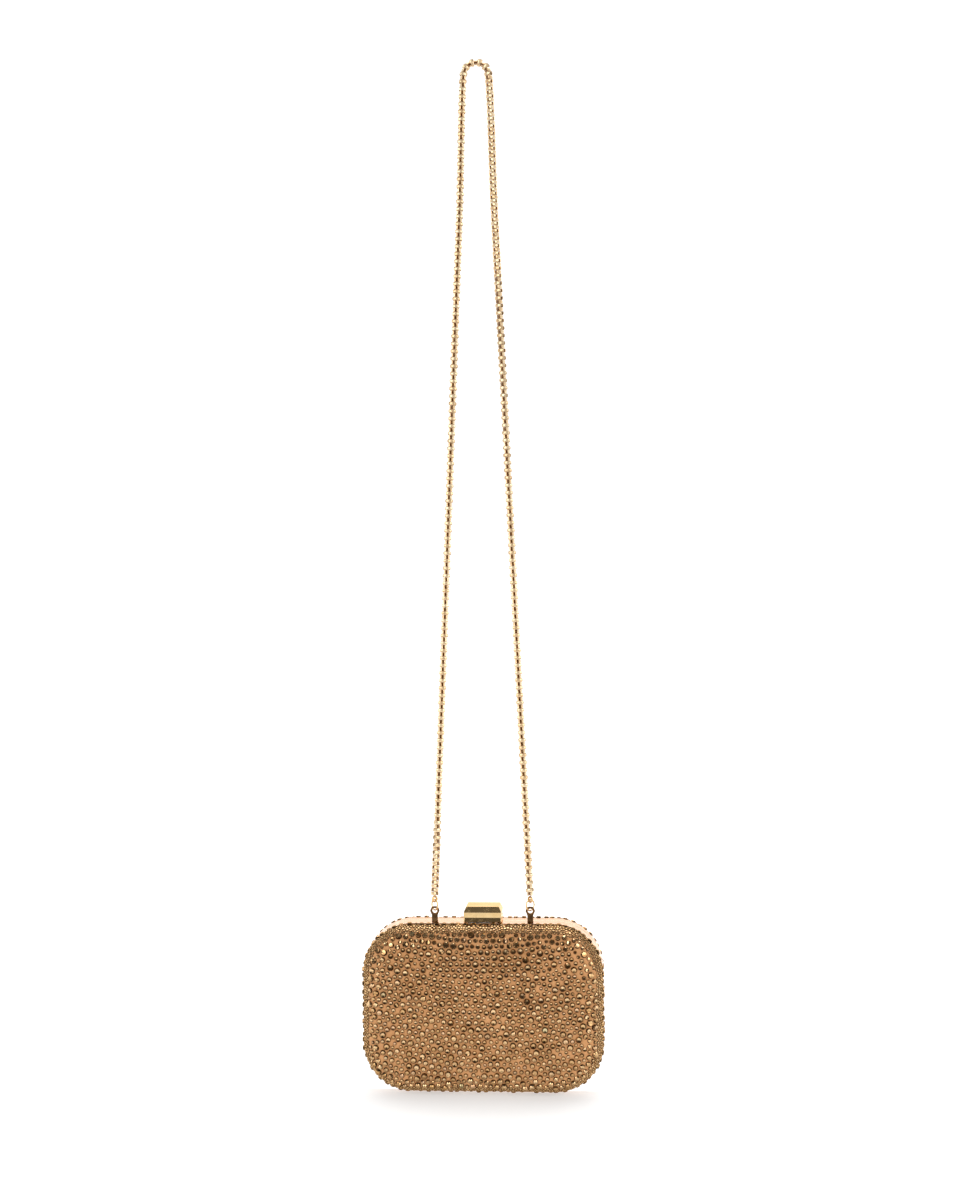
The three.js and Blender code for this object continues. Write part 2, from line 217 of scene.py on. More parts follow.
def suede():
    """Satin suede: a short nap in two directions of grain, brushed lighter and darker in soft patches."""
    made, tree, shader = new_finish(
        "cover_suede", (0.70, 0.37, 0.17), 0.72, Sheen_Weight=0.25, Sheen_Roughness=0.45,
        Sheen_Tint=(1.0, 0.82, 0.62, 1), Specular_IOR_Level=0.2,
    )
    nap = noise(tree, 5200, 4, roughness=0.65)
    patches = colours(tree, noise(tree, 55, 3), [(0.3, 0.67, 0.335, 0.14), (0.7, 0.79, 0.41, 0.18)])
    fibres = colours(tree, nap, [(0.3, 0.78, 0.76, 0.74), (0.7, 1.0, 1.0, 1.0)])
    tree.links.new(multiply(tree, patches, fibres), shader.inputs["Base Color"])
    tree.links.new(spread(tree, noise(tree, 900, 3), 0.6, 0.82), shader.inputs["Roughness"])
    bump(tree, shader, nap, 0.00012, 0.7)
    return made


def satin():
    """Satin lining: a fine diagonal twill, with slow shading from how the cloth was smoothed down."""
    made, tree, shader = new_finish(
        "lining_satin", (0.60, 0.44, 0.29), 0.42, Sheen_Weight=0.4, Sheen_Roughness=0.3,
        Sheen_Tint=(1.0, 0.9, 0.75, 1), Anisotropic=0.5,
    )
    shade = colours(tree, noise(tree, 40, 3), [(0.3, 0.53, 0.38, 0.24), (0.7, 0.66, 0.49, 0.33)])
    weave = add_node(tree, "ShaderNodeTexWave", Scale=900, Distortion=1.2, Detail=1.0)
    weave.bands_direction = "DIAGONAL"
    where = add_node(tree, "ShaderNodeTexCoord")
    tree.links.new(where.outputs["Object"], weave.inputs["Vector"])
    thread = colours(tree, weave.outputs["Fac"], [(0.0, 0.84, 0.84, 0.84), (1.0, 1, 1, 1)])
    tree.links.new(multiply(tree, shade, thread), shader.inputs["Base Color"])
    bump(tree, shader, weave.outputs["Fac"], 0.00006, 0.6)
    return made


def pressed_board():
    """Moulded fibre board: flecks and a soft felted relief."""
    made, tree, shader = new_finish("shell_board", (0.3, 0.23, 0.16), 0.85)
    fleck = colours(tree, noise(tree, 1500, 5), [(0.3, 0.20, 0.15, 0.10), (0.7, 0.36, 0.28, 0.20)])
    tree.links.new(fleck, shader.inputs["Base Color"])
    bump(tree, shader, noise(tree, 2500, 4), 0.0001, 0.5)
    return made


def cut_stone():
    """Foil-backed glass: each stone has a tint, and each facet's colour is painted lighter or darker, as
    painted reflection and painted light from above.
    """
    made, tree, shader = new_finish(
        "champagne_stone", (0.8, 0.6, 0.4), 0.07, Metallic=1.0, Coat_Weight=0.12, Coat_Roughness=0.05,
        Specular_Tint=(0.8, 0.6, 0.4, 1),
    )
    tint = colours(
        tree, attribute(tree, "stone_tint"),
        [(0.0, 0.60, 0.36, 0.15), (0.45, 0.76, 0.50, 0.25), (0.8, 0.88, 0.62, 0.34),
         (0.95, 0.74, 0.48, 0.28), (1.0, 0.62, 0.54, 0.30)],
    )
    # Painted light: each facet's colour is darkened or lightened to stand in for what the foiled glass
    # reflects.
    painted_facet_light = colours(tree, attribute(tree, "facet_painted_light"), [(0.0, 0.03, 0.018, 0.01), (0.5, 0.42, 0.36, 0.30),
                                                         (1.0, 1, 1, 1)])
    tree.links.new(multiply(tree, tint, painted_facet_light), shader.inputs["Base Color"])
    tree.links.new(spread(tree, noise(tree, 3000, 2), 0.04, 0.12), shader.inputs["Roughness"])
    return made


chain_plate, cover_suede, lining_satin = link_metal(), suede(), satin()
board, stone_glass = pressed_board(), cut_stone()

# ---- surfaces


def grid_faces(rows, columns, close_rows=False, close_columns=False):
    """Four-sided faces of rows x columns points; a closed direction joins its last line to its first."""
    row = np.arange(rows if close_rows else rows - 1)
    column = np.arange(columns if close_columns else columns - 1)
    i, j = (index.ravel() for index in np.meshgrid(row, column, indexing="ij"))
    i2, j2 = (i + 1) % rows, (j + 1) % columns
    return np.stack([i * columns + j, i2 * columns + j, i2 * columns + j2, i * columns + j2], axis=1)


def tube_faces(rings, count):
    """The faces of a stack of closed rings of that many points, with one face over each end."""
    end = np.arange(count)[None]
    return [grid_faces(rings, count, False, True), end[:, ::-1], end + (rings - 1) * count]


def unit(vectors):
    """Each vector divided by its length."""
    return vectors / np.maximum(np.linalg.norm(vectors, axis=-1), 1e-9)[..., None]


def joined(parts):
    """Several (points, faces) surfaces as one; faces is a list of arrays with one row for each face."""
    points, faces, count = [], [], 0
    for part_points, part_faces in parts:
        points.append(part_points)
        faces += [face + count for face in part_faces]
        count += len(part_points)
    return np.concatenate(points), faces


def merged(points, faces):
    """Points that share a place become one, and a face keeps only its distinct corners."""
    _, first, where = np.unique(np.round(points, 7), axis=0, return_index=True, return_inverse=True)
    where = where.ravel()
    kept = []
    for face in (corner for block in faces for corner in where[block].tolist()):
        distinct = list(dict.fromkeys(face))
        if len(distinct) > 2:
            kept.append(distinct)
    return points[first], kept


def outward(points, faces):
    """Turns every face round if the surface, seen from its own middle, faces inwards on the whole."""
    middle = points.mean(axis=0)
    fans = np.array([(f[0], f[k], f[k + 1]) for f in faces for k in range(1, len(f) - 1)])
    a, b, c = (points[fans[:, k]] - middle for k in range(3))
    if np.einsum("ij,ij->", a, np.cross(b, c)) < 0:
        return [face[::-1] for face in faces]
    return faces


def make(name, points, faces, finish, body, stands_for=(), sharp=35, attributes=()):
    """A mesh piece from numpy points and faces, with its finish, its body and the nodes it stands for.

    attributes are (name, "POINT" or "FACE", values).
    """
    if not isinstance(faces[0], list):
        faces = [face for block in faces for face in block.tolist()]
    faces = outward(points, faces)
    mesh = bpy.data.meshes.new(name)
    mesh.from_pydata(points.tolist(), [], faces)
    for label, domain, values in attributes:
        mesh.attributes.new(label, "FLOAT", domain).data.foreach_set("value", np.asarray(values, np.float32))
    mesh.materials.append(finish)
    if sharp == 0:
        mesh.shade_flat()
    else:
        mesh.shade_smooth()
        if sharp < 180:
            mesh.set_sharp_from_angle(angle=math.radians(sharp))
    piece = added(name, mesh)
    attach(piece, body)
    if stands_for:
        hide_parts(*stands_for)
    return piece


def softened(corners, radii, steps=3, closed=True):
    """A polygon with each corner rounded by an arc of its radius.

    The arc is a quadratic curve between the two points that lie one radius from the corner, and one more
    point on each side holds the flat next to it flat.
    """
    corners = np.asarray(corners, float)
    line = []
    count = len(corners)
    for k, (corner, radius) in enumerate(zip(corners, radii)):
        if radius == 0 or (not closed and k in (0, count - 1)):
            line.append(corner[None])
            continue
        before, after = corners[k - 1] - corner, corners[(k + 1) % count] - corner
        before, after = before / np.linalg.norm(before), after / np.linalg.norm(after)
        t = np.linspace(0, 1, steps + 1)[:, None]
        start, end = corner + before * radius, corner + after * radius
        arc = start * (1 - t) ** 2 + 2 * corner * t * (1 - t) + end * t**2
        line += [(start + before * radius * 0.4)[None], arc, (end + after * radius * 0.4)[None]]
    return np.concatenate(line)


def revolved(profile, centre, sides, axis="x"):
    """A closed profile of (place along the axis, radius) turned round the axis through the centre."""
    turn = np.linspace(0, 2 * math.pi, sides, endpoint=False)
    along, radius = profile[:, 0][:, None], profile[:, 1][:, None]
    across, up = radius * np.cos(turn), radius * np.sin(turn)
    along = along + 0 * across
    order = {"x": (along, across, up), "z": (across, up, along)}[axis]
    points = np.stack(order, axis=-1).reshape(-1, 3) + centre
    return points, [grid_faces(len(profile), sides, True, True)]


def block(low, high, radius):
    """A box between two corners whose outline across X and Z and whose edges are all rounded by the radius.

    It is a stack of rounded rectangles across Y, whose inset follows a quarter circle at each end.
    """
    low, high = np.array(low, float), np.array(high, float)
    steps = 2
    quarter = np.linspace(0, math.pi / 2, steps + 2)
    ends = np.stack([radius * (1 - np.sin(quarter)), radius * (1 - np.cos(quarter))], axis=1)
    levels = [(low[1] + rise, inset) for inset, rise in ends]
    levels += [(high[1] - rise, inset) for inset, rise in ends[::-1]]
    levels = [(low[1], radius * 1.6), *levels, (high[1], radius * 1.6)]
    rings = []
    for y, inset in levels:
        x0, z0, x1, z1 = low[0] + inset, low[2] + inset, high[0] - inset, high[2] - inset
        ring = softened([(x0, z0), (x1, z0), (x1, z1), (x0, z1)], [radius] * 4, steps)
        rings.append(np.stack([ring[:, 0], np.full(len(ring), y), ring[:, 1]], axis=1))
    return np.concatenate(rings), tube_faces(len(rings), len(rings[0]))


# ---- places taken from the frame

front_low, front_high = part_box("front_frame")
back_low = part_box("back_frame")[0]
CASE_TOP = front_high.z
CASE_WIDTH = front_high.x - front_low.x
CASE_HEIGHT = front_high.z - front_low.z
PARTING = (front_high.y + back_low.y) / 2
PARTING_GAP = (back_low.y - front_high.y) / 2
BAND_DEPTH = PARTING - front_low.y
FRONT, BACK = -1, 1
SIDES = {"front": FRONT, "back": BACK}

CASE_CORNER = 34 * MM
BAND_WALL = 1.4 * MM
FLANGE_WALL = 1.4 * MM
FLANGE_INSET = 5.6 * MM


def placed(x, depth, height, side):
    """Points of the case, for the half on that side, in the shared frame."""
    x, depth, height = np.broadcast_arrays(x, depth, height)
    return np.stack([x, PARTING + side * depth, CASE_TOP + height], axis=-1).reshape(-1, 3)


hinge_low, hinge_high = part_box("hinge_pin_right")
HINGE_X = (hinge_low.x + hinge_high.x) / 2  # the hinges stand this far left and right of the middle
HINGE_HEIGHT = joints["case_open"]["pos_m"][2] - CASE_TOP
HINGE_LENGTH = 24 * MM
BARREL = 1.35 * MM
RELIEF = 1.65 * MM  # radius of the room that the bands leave round a barrel
RELIEF_HALF = HINGE_LENGTH / 2 + 1.3 * MM


def case_rim(arc_steps=20):
    """The case's outline as points and outward directions: four straight runs joined by quarter circles.

    A corner point is the corner's centre plus the radius times its direction. The bottom run has extra
    points where the reliefs for the hinges start and end.
    """
    half_w, half_h = CASE_WIDTH / 2 - CASE_CORNER, CASE_HEIGHT / 2 - CASE_CORNER
    step = 0.02 * MM
    stops = [side * HINGE_X + end * RELIEF_HALF + nudge
             for side in (-1, 1) for end in (-1, 1) for nudge in (-step, step)]
    run_x = np.sort(np.concatenate([np.linspace(-half_w, half_w, 41)[1:-1], stops]))
    run_z = np.linspace(-half_h, half_h, 15)[1:-1]
    top, side = half_h + CASE_CORNER, CASE_WIDTH / 2
    runs = [(run_x[::-1], top), (-side, run_z[::-1]), (run_x, -top), (side, run_z)]
    centres = [(half_w, half_h), (-half_w, half_h), (-half_w, -half_h), (half_w, -half_h)]
    points, ways = [], []
    for quarter, (run, centre) in enumerate(zip(runs, centres)):
        turn = (quarter + np.linspace(0, 1, arc_steps + 1)) * math.pi / 2
        way = np.stack([np.cos(turn), np.sin(turn)], axis=1)
        run = np.stack(np.broadcast_arrays(*run), axis=1)
        points += [np.array(centre) + CASE_CORNER * way, run]
        ways += [way, np.repeat(way[-1:], len(run), axis=0)]
    points, ways = np.concatenate(points), np.concatenate(ways)
    points[:, 1] -= CASE_HEIGHT / 2
    return np.round(points, 9), ways


RIM, RIM_WAY = case_rim()

# ---- strap

CHAIN_WIDTH = 5.0 * MM
LINK_PITCH = 2.6 * MM
LINK_STAND = 2.1  # mm from the middle line to the outside of a plate, at the plate's middle
LINK_BOW = 0.75  # mm less than that at the plate's edges
LINK_WALL = 0.6 * MM
END_WIDTH = 0.84  # share of the width at a plate's ends and on its inside
END_STAND = 0.88  # share of the stand there
TWIST_AT = [0, 0.02, 0.05, 0.3, 0.47, 0.52, 0.6, 0.7, 0.85, 1]  # shares of the strap's length
TWIST = [50, 44, 6, -4, 0, 40, 42, 10, -3, 12]  # degrees at those places

# The strap's middle line as (x, z) in millimetres, from its top down the right side.
STRAP_ROUTE = [
    (0, -2.55), (4.35, -3.75), (7.5, -6.9), (8.75, -11.3), (9.4, -20.7), (9.9, -32),
    (10.6, -55), (11.8, -98), (14.6, -161), (17.5, -227), (20.4, -293), (23.3, -359),
    (26.2, -425), (29.1, -490), (31.7, -549), (33.2, -580.9),
]


def smooth_line(points, per_span):
    """A centripetal Catmull-Rom curve: between two points, three blends in turn of their four neighbours.

    The knots are spaced by the square roots of the distances, and each end has a mirrored neighbour.
    """
    points = np.concatenate([[2 * points[0] - points[1]], points, [2 * points[-1] - points[-2]]])
    step = np.linalg.norm(np.diff(points, axis=0), axis=1) ** 0.5
    knots = np.concatenate([[0], np.cumsum(step)])
    p = [points[k:len(points) - 3 + k, None] for k in range(4)]
    k = [knots[j:len(knots) - 3 + j, None, None] for j in range(4)]
    t = k[1] + (k[2] - k[1]) * np.linspace(0, 1, per_span, endpoint=False)[None, :, None]

    def mix(a, b, start, end):
        return ((end - t) * a + (t - start) * b) / (end - start)

    low, mid, high = mix(p[0], p[1], k[0], k[1]), mix(p[1], p[2], k[1], k[2]), mix(p[2], p[3], k[2], k[3])
    curve = mix(mix(low, mid, k[0], k[2]), mix(mid, high, k[1], k[3]), k[1], k[2])
    return np.concatenate([curve.reshape(-1, points.shape[1]), points[-2:-1]])


def strap_line():
    """The strap's middle line from its left end over the top to its right end, with its length so far."""
    right = np.array(STRAP_ROUTE) * MM
    left = right[:0:-1] * (-1, 1)
    line = smooth_line(np.concatenate([left, right]), 24)
    so_far = np.concatenate([[0], np.cumsum(np.linalg.norm(np.diff(line, axis=0), axis=1))])
    return line, so_far


def carried(line, so_far, s, radius, angle):
    """Points at the distance s along the middle line, off it by the radius at the angle round it."""
    middle = [np.interp(s, so_far, line[:, k]) for k in (0, 1)]
    slope = np.gradient(line, so_far, axis=0)
    tangent = [np.interp(s, so_far, slope[:, k]) for k in (0, 1)]
    aside = radius * np.cos(angle) / np.hypot(*tangent)
    x, z = middle[0] + aside * tangent[1], middle[1] - aside * tangent[0]
    return np.stack([x, radius * np.sin(angle), z], axis=-1).reshape(-1, 3)


def link_shape():
    """A link's points as (share of the pitch, radius, angle), its faces, and how open each point lies, which
    sets the painted shade in the joints.

    It is two bowed plates, one on each side of the middle line, with an open slot between. A plate reaches
    half the chain's width to each side, and its outside stands off the middle line by 2.1 mm less 0.75 mm
    times the square of the share of that width; its ends are drawn in a little.
    """
    around, along = 5, 4
    across = np.array([-1, -0.62, 0, 0.62, 1])
    stand = (LINK_STAND - LINK_BOW * across**2) * MM
    outer = [(a, w * CHAIN_WIDTH / 2 * across, rise * stand) for a, w, rise in (
        (-0.47, END_WIDTH, END_STAND), (-0.3, 1, 1), (0.3, 1, 1), (0.47, END_WIDTH, END_STAND))]
    inner = [(a, END_WIDTH * CHAIN_WIDTH / 2 * across, stand * END_STAND - LINK_WALL) for a in (-0.42, 0.42)]
    plate = np.concatenate([np.stack([0 * u + a, np.hypot(u, v), np.arctan2(u, v)], axis=1)
                            for a, u, v in outer + inner])
    base, step = along * around, np.arange(around)
    last, low, high = base - around + step, base + step, base + around + step
    quads = np.concatenate([
        grid_faces(along, around),
        np.stack([step[:-1], step[1:], low[1:], low[:-1]], axis=1),
        np.stack([last[:-1], high[:-1], high[1:], last[1:]], axis=1),
        np.stack([low[:-1], low[1:], high[1:], high[:-1]], axis=1),
    ])
    first = np.arange(along) * around
    ends = np.array([[*first, high[0], low[0]], [*(first + around - 1)[::-1], low[-1], high[-1]]])
    quads, ends = (np.concatenate([f, f + len(plate)]) for f in (quads, ends))
    # Painted shade by station: 1 on the open outside, 0.3 at the drawn-in ends, 0 on the inside, which is
    # darkest.
    depth = np.tile(np.repeat([0.3, 1, 1, 0.3, 0, 0], around), 2)
    return np.concatenate([plate, plate + (0, 0, math.pi)]), quads, ends, depth


def strap_chain():
    """Box links: each is turned a quarter against the last, so that broad plates and narrow edges take
    turns, and the whole chain is slowly twisted. A thin rod inside stands for the bars that join them."""
    line, so_far = strap_line()
    length = so_far[-1]
    count = round(length / LINK_PITCH)
    pitch = length / count
    draw = np.random.default_rng(11)
    link, quads, ends, depth = link_shape()
    number = np.arange(count)
    twist = np.interp(number * pitch, length * np.array(TWIST_AT), np.radians(TWIST))
    wobble = draw.normal(0, math.radians(3), count)
    s = (number + 0.5)[:, None] * pitch + link[None, :, 0] * pitch
    angle = link[None, :, 2] + (number % 2 * math.pi / 2 + twist + wobble)[:, None]
    radius = link[None, :, 1] * draw.normal(1, 0.008, count)[:, None]
    offset = (number * len(link))[:, None, None]
    tone = np.repeat(draw.random(count), len(link))
    links = (carried(line, so_far, s, radius, angle),
             [(quads + offset).reshape(-1, 4), (ends + offset).reshape(-1, 6)])

    sides, steps = 8, 4 * count
    rod_s = np.linspace(0.3 * MM, length - 0.3 * MM, steps)[:, None]
    rod_turn = np.linspace(0, 2 * math.pi, sides, endpoint=False)[None]
    rod_radius = CHAIN_WIDTH * (0.15 + 0.02 * np.cos(2 * math.pi * rod_s / pitch))
    rod = (carried(line, so_far, rod_s, rod_radius, rod_turn), tube_faces(steps, sides))
    points, faces = joined([links, rod])
    # The rod stands for the bars that join the links and is also painted at full joint shade, as painted
    # shade down inside the chain.
    depth = np.concatenate([np.tile(depth, count), np.zeros(steps * sides)])
    tone = np.concatenate([tone, np.full(steps * sides, 0.5)])
    piece = make("strap_links", points, faces, chain_plate, "strap", ["strap_chain"],
                 sharp=50, attributes=[("painted_joint_shade", "POINT", depth), ("link_tone", "POINT", tone)])
    path = [(x, 0, z) for x, z in line[::6]]
    return piece, length, path


def wire_ring(name, node, radius, wire, turn, body):
    """A ring of round wire in its node's middle, standing in the plane of Y and Z, then turned about Z."""
    low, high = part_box(node)
    around, sides = 48, 16
    big = np.linspace(0, 2 * math.pi, around, endpoint=False)[:, None]
    small = np.linspace(0, 2 * math.pi, sides, endpoint=False)[None]
    reach = radius + wire * np.cos(small)
    across, up, aside = reach * np.cos(big), reach * np.sin(big), wire * np.sin(small) + 0 * big
    points = np.stack([aside * math.cos(turn) - across * math.sin(turn),
                       aside * math.sin(turn) + across * math.cos(turn), up], axis=-1).reshape(-1, 3)
    return make(name, points + np.array((low + high) / 2), [grid_faces(around, sides, True, True)],
                yellow_gold, body, [node], sharp=180)


strap, strap_length, strap_path = strap_chain()
RING_TURN = {"left": math.radians(38), "right": math.radians(-45)}
for name, turn in RING_TURN.items():
    wire_ring(f"ring_{name}", f"jump_ring_{name}", 3.7 * MM, 0.475 * MM, turn, f"ring_{name}")
    wire_ring(f"end_loop_{name}", f"chain_end_{name}", 1.7 * MM, 0.72 * MM,
                                turn + math.pi / 2, "strap")

# ---- frame


def frame_half(name, side):
    """A band and its inner flange carried round the case's outline.

    A profile point (depth, inset) goes to the outline point minus the inset times the outward direction.
    Points that would lie inside a hinge barrel's relief are pushed straight out to its radius.
    """
    near, far, flange = PARTING_GAP, BAND_DEPTH, PARTING_GAP + FLANGE_WALL
    corners = [
        (near, 0), (0.95 * MM, 0), (1.1 * MM, 0), (1.2 * MM, 0), (1.5 * MM, 0), (1.8 * MM, 0), (far, 0),
        (far, BAND_WALL), (flange, BAND_WALL), (flange, FLANGE_INSET), (near, FLANGE_INSET),
        (near, 1.5 * MM), (near, 1.2 * MM), (near, 0.9 * MM), (near, 0.6 * MM), (near, 0.35 * MM),
    ]
    radii = [0.5, 0, 0, 0, 0, 0, 0.6, 0.3, 0.2, 0.35, 0.3, 0, 0, 0, 0, 0]
    profile = softened(corners, [r * MM for r in radii])
    depth, inset = profile[:, 0][:, None], profile[:, 1][:, None]
    x = RIM[None, :, 0] - inset * RIM_WAY[None, :, 0]
    height = RIM[None, :, 1] - inset * RIM_WAY[None, :, 1]
    depth = depth + 0 * x
    reach = np.hypot(depth, height - HINGE_HEIGHT)
    inside = (np.abs(np.abs(x) - HINGE_X) < RELIEF_HALF) & (reach < RELIEF)
    grow = np.where(inside, RELIEF / np.maximum(reach, 1e-6), 1)
    points = placed(x, depth * grow, HINGE_HEIGHT + (height - HINGE_HEIGHT) * grow, side)
    make(f"{name}_band", points, [grid_faces(len(profile), len(RIM), True, True)], rose_gold,
         f"{name}_half", [f"{name}_frame"], sharp=40)


for name, side in SIDES.items():
    frame_half(name, side)

# ---- covers and linings

BAND_CLEAR = 1.7 * MM  # from the outside of the band to the cover where it comes up inside it
COVER_SWELL = 0.8 * MM  # how far the cover bulges out again above the band
COVER_INSET = BAND_CLEAR - COVER_SWELL
HALF_DEPTH = 24 * MM  # from the parting plane to the face
EDGE_ROUND = 13 * MM + COVER_SWELL
EDGE_START = 11.5 * MM
EDGE_DROP = HALF_DEPTH - EDGE_START
CROWN = 1.7 * MM
FLAT_INSET = COVER_INSET + EDGE_ROUND
MIDDLE = -CASE_HEIGHT / 2


def crown(x, height):
    """How far the face swells: the crown times (1 - |x/half width|^2.4) times the same upwards."""
    across = np.abs(x / (CASE_WIDTH / 2)) ** 2.4
    up = np.abs((height - MIDDLE) / (CASE_HEIGHT / 2)) ** 2.4
    return CROWN * np.clip(1 - across, 0, 1) * np.clip(1 - up, 0, 1)


def half_skin(below, start, swell):
    """The pillow shape of one half, that far below the cover's outside, open towards the parting plane.

    The wall rises straight from the start, bulges out above the band, turns over in a quarter ellipse, and
    runs on to the middle line of the face. The bulge and the face's crown are scaled by the swell.
    """
    turn = np.linspace(0, math.pi / 2, 15)
    bulge = swell * COVER_SWELL
    rise, run = EDGE_DROP - below, EDGE_ROUND - COVER_SWELL - below + bulge
    wall = np.array([start, (start + BAND_DEPTH) / 2, BAND_DEPTH - 0.2 * MM, BAND_DEPTH + 0.3 * MM])
    depth = np.concatenate([wall, EDGE_START + rise * np.sin(turn)])
    inset = BAND_CLEAR + below + np.concatenate([[0, 0, 0, -0.5 * bulge], run * (1 - np.cos(turn)) - bulge])
    x = RIM[None, :, 0] - inset[:, None] * RIM_WAY[None, :, 0]
    height = RIM[None, :, 1] - inset[:, None] * RIM_WAY[None, :, 1]
    share = np.concatenate([0 * wall, np.sin(turn)])[:, None]
    depth = depth[:, None] + swell * share * crown(x, height)
    reach = CASE_WIDTH / 2 - CASE_HEIGHT / 2
    spine = np.clip(x[-1], -reach, reach)
    t = np.linspace(0, 1, 13)[1:, None]
    face_x, face_z = x[-1] + (spine - x[-1]) * t, height[-1] + (MIDDLE - height[-1]) * t
    face_depth = HALF_DEPTH - below + swell * crown(face_x, face_z)
    rows = [np.concatenate(pair) for pair in ((x, face_x), (depth, face_depth), (height, face_z))]
    return rows, [grid_faces(len(rows[0]), len(RIM), False, True)]


def solid_wall(piece, thickness, offset=-1):
    """Gives a sheet its thickness: inwards at offset -1, to both sides at offset 0."""
    wall = piece.modifiers.new("wall", "SOLIDIFY")
    wall.thickness = thickness
    wall.offset = offset


def starts(node, side):
    """The depth at which a node of that half begins."""
    low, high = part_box(node)
    return PARTING - high.y if side == FRONT else low.y - PARTING


def half_skins(name, side):
    """The cover outside and the lining inside one half."""
    for part, cloth, below, swell, finish, wall, flat in (
        ("cover", "suede", 0, 1, cover_suede, 0.9 * MM, (0.205, 0.155)),
        ("lining", "satin", 3.1 * MM, 0, lining_satin, 0.7 * MM, (0.195, 0.145)),
    ):
        node = f"{name}_{part}"
        (x, depth, height), faces = half_skin(below, starts(node, side), swell)
        points, faces = merged(placed(x, depth, height, side), faces)
        piece = make(f"{name}_{cloth}", points, faces, finish, f"{name}_half", [node],
                     sharp=180)
        solid_wall(piece, wall)


for name, side in SIDES.items():
    half_skins(name, side)

# ---- stones

FLAT_X = CASE_WIDTH / 2 - FLAT_INSET
FLAT_Z = CASE_HEIGHT / 2 - FLAT_INSET
FLAT_CORNER = CASE_CORNER - FLAT_INSET
EDGE_TURN = np.linspace(0, math.pi / 2, 91)
_edge_step = np.hypot(np.diff(EDGE_ROUND * np.sin(EDGE_TURN)), np.diff(EDGE_DROP * np.cos(EDGE_TURN)))
EDGE_LENGTH = np.concatenate([[0], np.cumsum(_edge_step)])
ROOM = EDGE_LENGTH[-1] + EDGE_START - BAND_DEPTH - 0.1 * MM


def on_cover(plan):
    """A point of the cover laid out flat, as its place (x, depth, height) and its outward direction.

    Inside the face's flat outline the plan is the place itself. Outside it, the distance from the outline
    is laid along the quarter ellipse of the edge, and then down the wall.
    """
    x, up = plan[:, 0], plan[:, 1] - MIDDLE
    core = np.stack([np.clip(x, -FLAT_X + FLAT_CORNER, FLAT_X - FLAT_CORNER),
                     np.clip(up, -FLAT_Z + FLAT_CORNER, FLAT_Z - FLAT_CORNER)], axis=1)
    away = np.stack([x, up], axis=1) - core
    size = np.linalg.norm(away, axis=1)
    way = unit(away)
    beyond = size - FLAT_CORNER
    out = np.clip(beyond, 0, None)
    turn = np.interp(out, EDGE_LENGTH, EDGE_TURN)
    down = np.clip(out - EDGE_LENGTH[-1], 0, None)
    base = core + way * np.minimum(size, FLAT_CORNER)[:, None]
    place = base + way * (EDGE_ROUND * np.sin(turn))[:, None]
    step = 0.1 * MM
    height = place[:, 1] + MIDDLE
    share = np.cos(turn)
    depth = EDGE_START + EDGE_DROP * np.cos(turn) - down + crown(place[:, 0], height) * share
    tilt = [crown(place[:, 0] + a, height + b) - crown(place[:, 0] - a, height - b)
            for a, b in ((step, 0), (0, step))]
    slope = np.stack(tilt, axis=1) / (2 * step) * share[:, None]
    flat = way * (np.sin(turn) / EDGE_ROUND * EDGE_DROP)[:, None] - slope
    facing = np.concatenate([flat[:, :1], np.cos(turn)[:, None], flat[:, 1:]], axis=1)
    return np.stack([place[:, 0], depth, height], axis=1), unit(facing), beyond


RIM_ZONE = 10.5 * MM
STONE_RADII = np.array([2.35, 1.95, 1.6, 1.3]) * MM
STONE_SHARE = [0.16, 0.30, 0.38, 0.16]
STONE_GAP = 0.65 * MM
FINE_RADII = np.array([0.78, 0.9, 1.02]) * MM
FINE_SHARE = [0.4, 0.4, 0.2]
FINE_PITCH = 2.15 * MM
FACE_PITCH = 4.0 * MM
LAST_PITCH = 5.0 * MM
ROW_BOW = 2.4  # a row's rise in metres, for the square of the distance from the middle in metres
SCATTER = 0.3 * MM
RIM_SCATTER = 0.15 * MM
NEIGHBOURS = 7 * MM  # stones nearer than this push each other apart
PUSH = 0.35
ROUNDS = 72


def evenly(plan, true, pitch, shift=0.0):
    """Points of a closed line on the plan, in equal steps of the matching true line's length."""
    steps = np.linalg.norm(np.roll(true, -1, axis=0) - true, axis=1)
    so_far = np.concatenate([[0], np.cumsum(steps)])
    count = round(so_far[-1] / pitch)
    place = (np.arange(count) + shift) * so_far[-1] / count
    return np.stack([np.interp(place, so_far, np.append(plan[:, c], plan[0, c])) for c in (0, 1)], axis=1)


def rim_rows(draw, pitch):
    """Fine stones in rows round the rim: each row is the face's flat outline moved out by its distance."""
    flat = RIM - FLAT_INSET * RIM_WAY
    rows = []
    for k, out in enumerate(np.arange(RIM_ZONE + 0.8 * MM, ROOM - 2.6 * MM, pitch * 0.88)):
        turn = np.interp(out, EDGE_LENGTH, EDGE_TURN)
        true = flat + EDGE_ROUND * math.sin(turn) * RIM_WAY
        rows.append(evenly(flat + out * RIM_WAY, true, pitch, k % 2 * 0.5))
    rows = np.concatenate(rows)
    return rows + draw.normal(0, RIM_SCATTER, rows.shape)


